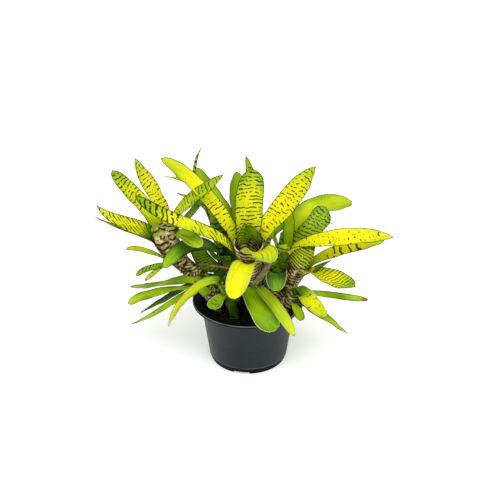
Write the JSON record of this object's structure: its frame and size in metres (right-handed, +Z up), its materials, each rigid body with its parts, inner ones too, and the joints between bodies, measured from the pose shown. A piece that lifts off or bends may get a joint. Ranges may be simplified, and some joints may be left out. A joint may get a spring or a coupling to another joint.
{
  "type": "potted neoregelia bromeliad",
  "caption": "Clump of banded yellow and green tank bromeliad rosettes with mottled funnels, growing in bark mix in a plain round tapered nursery pot.",
  "frame": {"origin": "centre of the pot's underside, on the surface it stands on", "axes": "+Z up along the pot's axis; -Y towards the viewer's side, where the mother rosette's drooping leaf hangs; +X to the viewer's right"},
  "size_m": [0.3778, 0.2338, 0.2784],
  "materials": {
    "pot": "satin charcoal moulded plastic",
    "potting_mix": "dark loose bark chips",
    "banded_leaf": "satin leaf, yellow with dark brown cross bands and a mottled purple-brown base",
    "green_leaf": "satin leaf, yellow-green with a pale margin and a mottled base"
  },
  "bodies": {
    "root": {"pot": "pot", "potting_mix": "potting_mix", "mother_rosette": "banded_leaf", "upper_left_rosette": "banded_leaf", "right_rosette": "banded_leaf", "inner_right_rosette": "banded_leaf", "lower_right_rosette": "green_leaf", "front_right_pup": "green_leaf", "front_left_pup": "green_leaf", "lower_left_rosette": "green_leaf", "shaded_left_rosette": "green_leaf", "back_left_rosette": "green_leaf", "back_rosette": "green_leaf", "back_right_rosette": "green_leaf", "rear_rosette": "green_leaf"}
  },
  "joints": []
}
